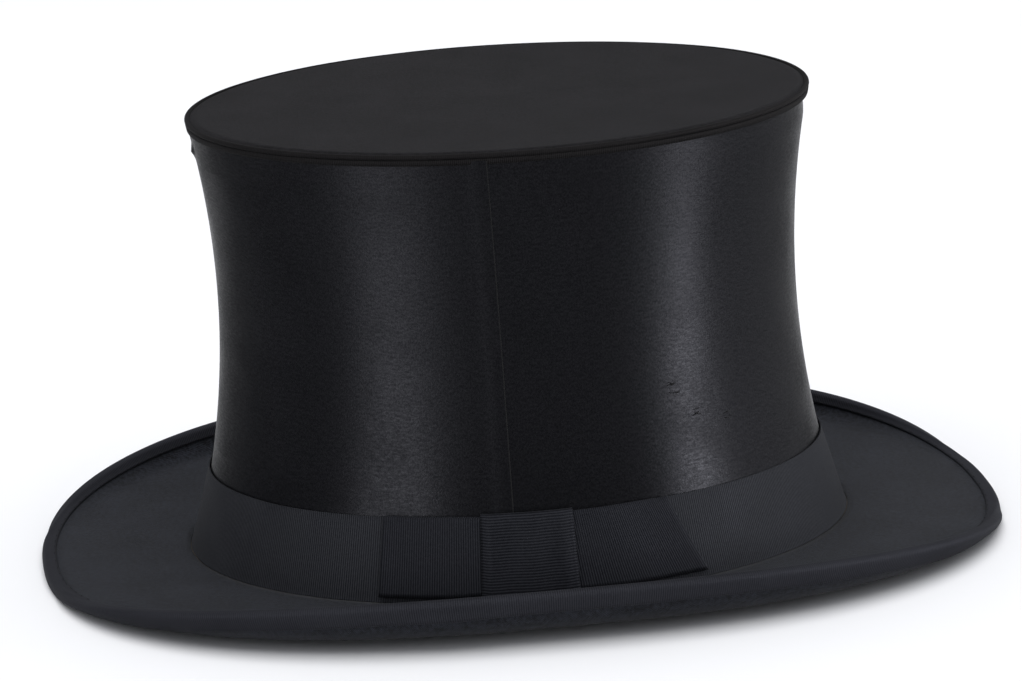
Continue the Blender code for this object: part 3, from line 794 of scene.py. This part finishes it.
def bow():
    middle = sum(KNOT) / 2
    heights = steps(BOW_FOOT, BOW_TOP, 16)

    def squeeze(degrees, height):
        """The ribbon is drawn in a little where the knot holds it."""
        near = math.exp(-(((degrees - middle) / 10) ** 2))
        centre = (BOW_FOOT + BOW_TOP) / 2
        return centre + (height - centre) * (1 - 0.05 * near)

    path = [(d, 0.00055) for d in steps(middle - 2, LOOP_FRONT + 1.2, 14)]
    path += [(LOOP_FRONT + 0.5, 0.0006), (LOOP_FRONT + 0.1, 0.0008), (LOOP_FRONT, 0.0010), (LOOP_FRONT + 0.15, 0.0013)]
    for d in steps(LOOP_FRONT + 0.6, middle - 2, 18):
        path.append((d, 0.0015 + 0.0003 * math.sin(math.pi * (d - LOOP_FRONT) / 20)))

    def on_loop(height, place):
        d, off = place
        wave = 0.00012 * math.sin(d * 0.55 + height * 160) if off > 0.0014 else 0
        return on_band(d, squeeze(d, height), off + wave)

    loop = surface("bow_loop_ribbon", grid(heights, path, on_loop), GROSGRAIN, thickness=0.00042, offset=0)
    assign(loop, "base", "bow_front_loop")

    def on_tail(height, s):
        share = (height - BOW_FOOT) / (BOW_TOP - BOW_FOOT)
        end = TAIL_FOOT + (TAIL_TOP - TAIL_FOOT) * share
        d = middle + 2 + (end - middle - 2) * s
        lift = 0.00075 + 0.0003 * math.sin(math.pi * min(1, s * 1.3)) + 0.0002 * smooth((s - 0.72) / 0.28)
        wave = 0.00010 * math.sin(d * 0.42 + 1.0 + height * 120)
        return on_band(d, squeeze(d, height), lift + wave)

    tail = surface("bow_tail_ribbon", grid(heights, steps(0, 1, 34), on_tail), GROSGRAIN, thickness=0.00042, offset=0)
    assign(tail, "base", "bow_tail")

    under, over = BOW_FOOT - 0.0006, BOW_TOP + 0.0005
    profile = [(under + 0.0014, 0.0006), (under + 0.0005, 0.0009), (under, 0.0014), (under + 0.0002, 0.0020)]
    profile.append((under + 0.0010, 0.0025))
    for h in steps(under + 0.002, over - 0.002, 14):
        profile.append((h, 0.0027 + 0.0002 * math.sin(math.pi * (h - under) / (over - under))))
    profile += [(over - 0.0010, 0.0025), (over - 0.0002, 0.0020), (over, 0.0014)]
    profile += [(over - 0.0005, 0.0009), (over - 0.0014, 0.0006)]

    def on_knot(d, place):
        h, off = place
        edge = smooth((d - KNOT[0]) / 1.6)
        rear = smooth((KNOT[1] + 2.3 - d) / 3.0)
        lift = (off - 0.0006) * (0.55 + 0.45 * edge) * (0.62 + 0.38 * rear)
        pinch = 0.00028 * math.sin((d - KNOT[0]) * 0.9) * edge * rear if off > 0.0022 else 0
        return on_band(d, h, 0.0006 + lift + pinch)

    rows = grid(steps(KNOT[0], KNOT[1] + 2.3, 30), profile, on_knot)
    knot = surface("bow_knot_ribbon", rows[::-1], KNOT_GROSGRAIN, thickness=0.00042, offset=0)
    assign(knot, "base", "bow_knot")


# ---- tip

TIP_TUCK = 0.007  # how much wider than the tip its cloth is, as a share, where it goes under the piping


def tip_shape(angle, share):
    """The tip's cloth: flat, a little sunk in the middle, turned down at the rim and tucked under the piping."""
    sink = 0.0005 * (1 - share**2) + 0.00012 * math.sin(3 * angle + 1) * share * (1 - share) * 4
    waver = ripple(angle, share * 0.3, 51, 0.00010) * share * (1 - share) * 3
    rim = 0.0006 * smooth((share - 0.985) / 0.015)
    tuck = 0.0005 * max(0.0, share - 1) / TIP_TUCK
    return TIP_TOP - sink - rim - tuck + waver


def tip_cloth():
    """The mat cloth over the tip's board."""

    def point(share, angle):
        return oval_point((TIP_HALF[0] * share, TIP_HALF[1] * share), angle, tip_shape(angle, share))

    shares = [0.012] + steps(0.05, 0.95, 26) + [0.97, 0.985, 0.992, 0.997, 1.0, 1 + TIP_TUCK]
    rows = grid(shares, angles(), point)
    piece = surface("tip_cloth", rows[::-1], TIP_CLOTH, closed=True, uv=seen_flat, thickness=0.0004, disc=1)
    assign(piece, "crown_top", "tip_cover")


def piping():
    """The cord round the tip in its own cloth, and the cloth's flange, from under the tip down over the satin."""
    bm = cloth_bmesh()
    points = [oval_point(PIPING_HALF, a, PIPING_Z + ripple(a, 0, 61, 0.00010)) for a in angles(AROUND * 2)]
    tube(bm, points, PIPING_RADIUS + 0.0001, 14, closed=True)
    assign(finish_mesh("tip_piping_cord", bm, PIPING_CLOTH), "crown_top", "tip_piping")

    under_tip = [(-0.0010, 0.00085), (-0.0003, 0.00080), (0.0003, 0.00060)]
    over_satin = [(0.0006, 0.0012), (0.00045, 0.0020), (0.0003, 0.0027)]
    ovals = [(grown(PIPING_HALF, off), PIPING_Z - drop) for off, drop in under_tip + over_satin]
    rows = [[oval_point(half, a, z) for a in angles()] for half, z in ovals]
    flange = surface("tip_edge_flange", rows[::-1], PIPING_CLOTH, closed=True, thickness=0.0003)
    assign(flange, "crown_top")


def tip_lining():
    """The lining under the tip, drawn to a small button at its middle."""
    low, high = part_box("tip_lining")
    half, z = (high.x, high.y), low.z

    def point(share, angle):
        fold = 0.00035 * math.sin(36 * angle + 2 * math.sin(3 * angle)) * (1 - share) ** 1.2 * smooth(share * 8)
        sag = -0.0012 * math.sin(math.pi * share) ** 1.2
        return oval_point((half[0] * share, half[1] * share), angle, z + sag + fold)

    rows = grid([0.02] + steps(0.06, 1, 30), angles(), point)
    piece = surface("tip_lining_cloth", rows[::-1], LINING, closed=True, uv=seen_flat, thickness=0.0003, disc=-1)
    assign(piece, "crown_top", "tip_lining")

    rows = []
    for share, drop in ((0.05, 0.0016), (0.4, 0.0015), (0.75, 0.0011), (0.95, 0.0005), (1.0, -0.0004)):
        radius = 0.0058 * share
        rows.append([oval_point((radius, radius), a, z - 0.0006 - drop) for a in angles(48)])
    button = surface("lining_button", rows[::-1], LINING, closed=True, uv=seen_flat, disc=-1)
    assign(button, "crown_top")


# ---- inside

STRIP_THICKNESS = 0.0010
SWEATBAND_LAP = 0.004  # the leather's overlap at the rear is 1.4 of these
SWEATBAND_RADIUS = 0.096
SIDES = (("front", 0), ("left", 90), ("rear", 180), ("right", 270))


def sweatband():
    """Leather, folded at its foot over a cord, with a row of stitching and a joint at the rear."""
    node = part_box("sweatband")
    low, high = node[0].z, node[1].z
    lap = SWEATBAND_LAP / SWEATBAND_RADIUS
    turns = [-lap, -lap * 0.5, 0, lap * 0.6] + steps(lap * 1.4, math.tau - lap * 1.4, AROUND)
    turns += [math.tau - lap * 0.6, math.tau - lap * 0.2, math.tau, math.tau + lap * 0.4]

    def unevenness(angle, share):
        return ripple(angle, share * 0.1, 71, 0.00030) * share

    def point(share, turn):
        angle = math.pi + turn
        edge_wave = ripple(angle, 0, 72, 0.00045) * smooth((share - 0.7) / 0.3)
        over = smooth((turn - (math.tau - lap * 2.2)) / (lap * 1.2))
        out = unevenness(angle, share) - 0.0012 * over - 0.0001
        half = grown(between(SWEATBAND_AT_FOOT, SWEATBAND_AT_TOP, share), out)
        return oval_point(half, angle, low + (high - low) * share + edge_wave)

    rows = grid([0, 0.008, 0.03] + steps(0.08, 0.92, 22) + [0.97, 0.992, 1], turns, point)
    piece = surface("sweatband_leather", rows, LEATHER, thickness=0.0009)
    assign(piece, "base", "sweatband")

    bm = cloth_bmesh()
    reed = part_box("sweatband_reed")
    radius = (reed[1].z - reed[0].z) / 2
    half = (reed[1].x - radius, reed[1].y - radius)
    tube(bm, [oval_point(half, a, (reed[0].z + reed[1].z) / 2) for a in angles()], radius, 10, closed=True)
    assign(finish_mesh("sweatband_reed_cord", bm, PIPING_CLOTH), "base", "sweatband_reed")

    bm = cloth_bmesh()
    share = 0.115
    half = grown(between(SWEATBAND_AT_FOOT, SWEATBAND_AT_TOP, share), -0.00112)
    z = low + (high - low) * share
    count = 216
    for i in range(count):
        a, b = math.tau * i / count, math.tau * (i + 0.62) / count
        points = []
        for s in steps(0, 1, 4):
            angle = a + (b - a) * s
            out = -0.00015 * math.sin(math.pi * s) + 0.00012
            points.append(oval_point(grown(half, out + unevenness(angle, share)), angle, z))
        tube(bm, points, 0.00016, 6)
    assign(finish_mesh("sweatband_stitches", bm, TAN_THREAD), "base")


def sweatband_bow():
    """The small ribbon bow over the sweatband's rear joint: two loops and a knot."""
    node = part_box("sweatband_bow")
    centre = (node[0] + node[1]) / 2
    half_width, half_height = (node[1].y - node[0].y) / 2, (node[1].z - node[0].z) / 2
    lean = math.atan((SWEATBAND_AT_FOOT[0] - SWEATBAND_AT_TOP[0]) / 0.0284)
    bm = cloth_bmesh()
    layer = bm.loops.layers.uv["cloth"]
    for side in (1, -1):
        rows = []
        for s in steps(0, 1, 16):
            reach = half_width * math.sin(math.pi * s) ** 0.6
            face = 0.0010 * math.cos(math.pi * s)
            tall = half_height * (0.42 + 0.58 * (reach / half_width))
            row = []
            for v in steps(-1, 1, 6):
                up = v * tall
                x = centre.x + face + 0.0008 + up * math.tan(lean)
                row.append(bm.verts.new((x, centre.y + side * reach, centre.z + up)))
            rows.append(row)
        for near, far in zip(rows, rows[1:]):
            for k in range(6):
                face = bm.faces.new((near[k], near[k + 1], far[k + 1], far[k]))
                face.smooth = True
                for loop in face.loops:
                    loop[layer].uv = (loop.vert.co.y, loop.vert.co.z)
    loops = finish_mesh("sweatband_bow_loops", bm, GROSGRAIN, 0.0003, 0)
    assign(loops, "base", "sweatband_bow")

    def on_knot(v, turn):
        up = v * half_height * 0.62
        x = centre.x + 0.0008 + 0.0015 * math.cos(turn) + up * math.tan(lean)
        return Vector((x, centre.y + 0.0019 * math.sin(turn), centre.z + up))

    rows = grid(steps(-1, 1, 8), steps(0, math.tau, 20), on_knot)
    knot = surface("sweatband_bow_knot", rows, KNOT_GROSGRAIN, thickness=0.0003, offset=0)
    assign(knot, "base")


def rings_and_collar():
    """The two steel strips that stand on edge round the crown, and the stiff collar inside its foot."""
    for node, body in (("base_ring", "base"), ("tip_ring", "crown_top")):
        low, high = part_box(node)
        rows = [[oval_point((high.x, high.y), a, z) for a in angles()] for z in steps(low.z, high.z, 2)]
        piece = surface(f"{node}_strip", rows, STEEL, closed=True, thickness=STRIP_THICKNESS)
        soften(piece, STRIP_THICKNESS * 0.25, 50)
        assign(piece, body, node)
    low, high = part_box("collar")
    heights = [low.z - FOOT, *steps(0.002, BAND_HEIGHT, 6), high.z - FOOT]
    rows = [[oval_point(grown(satin_oval(h), -0.0008), a, FOOT + h) for a in angles()] for h in heights]
    piece = surface("collar_board", rows, BOARD, closed=True, thickness=0.0010)
    assign(piece, "base", "collar")


def rivets():
    """Two domed rivets through each bracket's plate into its ring."""
    made = {"base": cloth_bmesh(), "crown_top": cloth_bmesh()}
    for side, angle in SIDES:
        for end, body in (("base", "base"), ("top", "crown_top")):
            low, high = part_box(f"{side}_{end}_bracket")
            turn = Matrix.Rotation(math.radians(angle), 3, "Z")
            outward, along = turn @ Vector((1, 0, 0)), turn @ Vector((0, 1, 0))
            face = max(high.dot(outward), low.dot(outward)) - 0.0009
            span = abs((high - low).dot(along))
            z = low.z + 0.0028 if end == "base" else high.z - 0.0028
            for share in (-0.28, 0.28):
                centre = outward * face + along * (span * share)
                centre.z = z
                dome(made[body], centre, -outward, 0.0011, 0.0005)
    for body, bm in made.items():
        assign(finish_mesh(f"rivets_{body}", bm, SPRING), body)


def dome(bm, centre, direction, radius, height):
    """A rivet's head, its foot sunk a little into the face it stands on."""
    layer = bm.loops.layers.uv["cloth"]
    first = direction.orthogonal().normalized()
    second = direction.cross(first)
    rings = []
    for share in (1.0, 0.97, 0.8, 0.5, 0.2):
        lift = height * math.sqrt(max(0.0, 1 - share * share)) if share < 1 else -0.0001
        ring = []
        for k in range(14):
            t = math.tau * k / 14
            offset = (first * math.cos(t) + second * math.sin(t)) * radius * share
            ring.append(bm.verts.new(centre + offset + direction * lift))
        rings.append(ring)
    faces = []
    for near, far in zip(rings, rings[1:]):
        for k in range(14):
            m = (k + 1) % 14
            faces.append(bm.faces.new((near[k], near[m], far[m], far[k])))
    faces.append(bm.faces.new(rings[-1]))
    for face in faces:
        face.smooth = True
        for loop in face.loops:
            loop[layer].uv = (loop.vert.co.x, loop.vert.co.z)


def knee_springs():
    """A wire torsion spring on each knee, its legs along the two arms."""
    wire, coil, turns, leg, half = 0.00035, 0.0016, 3, 0.0085, 0.00175
    per_turn = 20
    count = turns * per_turn
    for side, angle in SIDES:
        low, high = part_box(f"{side}_knee_pin")
        centre = (low + high) / 2
        turn = Matrix.Rotation(math.radians(angle), 3, "Z")
        local = [Vector((coil, -half, -leg)), Vector((coil, -half, -leg * 0.5)), Vector((coil, -half, -coil * 0.8))]
        for i in range(count + 1):
            t = -math.pi * turns + math.tau * turns * i / count
            y = -half + 2 * half * i / count
            local.append(Vector((-math.cos(t) * coil, y, math.sin(t) * coil)))
        local += [Vector((coil, half, coil * 0.8)), Vector((coil, half, leg * 0.5)), Vector((coil, half, leg))]
        bm = cloth_bmesh()
        tube(bm, [centre + turn @ p for p in local], wire, 8)
        piece = finish_mesh(f"{side}_knee_coil", bm, SPRING)
        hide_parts(f"{side}_knee_spring")
        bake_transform(piece)


def dress_cad():
    """Better materials and softened edges on the CAD parts that stay."""
    looks = {"tip_board": BOARD, "brim_edge_wire": SPRING}
    for name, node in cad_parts.items():
        if node.hide_render:
            continue
        look = looks.get(name, SPRING if name.endswith("_pin") else STEEL)
        node.data.materials.clear()
        node.data.materials.append(look)
        if look is BOARD:
            continue
        weld = node.modifiers.new("weld", "WELD")
        weld.merge_threshold = 1e-6
        soften(node, 0.00014, 32)


# ---- floor, light, camera


def studio():
    """A pale floor, a soft pale surround, one large light overhead and three low panels."""
    bm = cloth_bmesh()
    corners = [bm.verts.new((x * 12, y * 12, 0)) for x, y in ((-1, -1), (1, -1), (1, 1), (-1, 1))]
    bm.faces.new(corners)
    n = Nodes("studio_floor")
    n.set(Base_Color=(0.89, 0.89, 0.90, 1), Roughness=0.9, Specular_IOR_Level=0.1)
    floor = finish_mesh("studio_floor", bm, n.material)

    world = bpy.data.worlds.new("studio")
    bpy.context.scene.world = world
    world.use_nodes = True
    background = world.node_tree.nodes["Background"]
    background.inputs[0].default_value = (0.93, 0.95, 1.0, 1)
    background.inputs[1].default_value = 0.56
    target = Vector((0, 0, 0.07))

    def area(name, azimuth, elevation, distance, size, power, gloss_only=False):
        """A light on the crown, its azimuth in degrees round the hat from its front.

        If it is gloss_only, it shows as a reflection and adds nothing to mat surfaces.
        """
        a, e = math.radians(azimuth), math.radians(elevation)
        spot = target + Vector((math.cos(a) * math.cos(e), math.sin(a) * math.cos(e), math.sin(e))) * distance
        light = bpy.data.lights.new(name, "AREA")
        light.shape = "RECTANGLE"
        light.size, light.size_y = size
        light.energy = power
        made = bpy.data.objects.new(name, light)
        made.location = spot
        made.visible_diffuse = not gloss_only
        made.rotation_euler = (target - spot).to_track_quat("-Z", "Y").to_euler()
        bpy.context.scene.collection.objects.link(made)

    area("overhead", 83, 88, 2.6, (4.0, 4.0), 84)
    area("left_softbox", 49, 9, 1.7, (0.62, 0.70), 18, gloss_only=True)
    area("right_strip", 147, 6, 1.7, (0.26, 0.60), 29, gloss_only=True)
    area("rear_panel", 186, 14, 2.0, (2.0, 1.0), 23, gloss_only=True)


def camera():
    """On the wearer's left, a little towards the front, fifteen degrees up, with a long lens and a slight roll."""
    azimuth, elevation, roll = math.radians(173.15), math.radians(14.95), math.radians(-3.06)
    distance, aside, above = 1.6851, 0.00283, 0.05776
    level = math.cos(elevation)
    back = Vector((math.sin(azimuth) * level, -math.cos(azimuth) * level, math.sin(elevation)))
    right = (-back).cross(Vector((0, 0, 1))).normalized()
    up = right.cross(-back)
    right, up = right * math.cos(roll) + up * math.sin(roll), up * math.cos(roll) - right * math.sin(roll)
    spot = Vector((0, 0, FOOT)) + back * distance - right * aside + up * above
    made = bpy.data.objects.new("camera", bpy.data.cameras.new("camera"))
    made.data.sensor_width = 36
    made.data.lens = 183.2
    made.data.clip_start = 0.05
    made.matrix_world = Matrix.Translation(spot) @ Matrix((right, up, back)).transposed().to_4x4()
    bpy.context.scene.collection.objects.link(made)
    bpy.context.scene.camera = made


camera()
studio()
brim_board()
brim_cloth("brim_top_cloth", "brim_top_cover", COVER_TOP, -0.0004, 11)
brim_cloth("brim_under_cloth", "brim_under_cover", -COVER_TOP, UNDER_REACH, 12)
binding()
binding_stitches()
crown_satin()
snags()
side_lining()
band()
bow()
tip_cloth()
piping()
tip_lining()
sweatband()
sweatband_bow()
rings_and_collar()
rivets()
knee_springs()
dress_cad()

bpy.context.scene.view_settings.view_transform = "Standard"
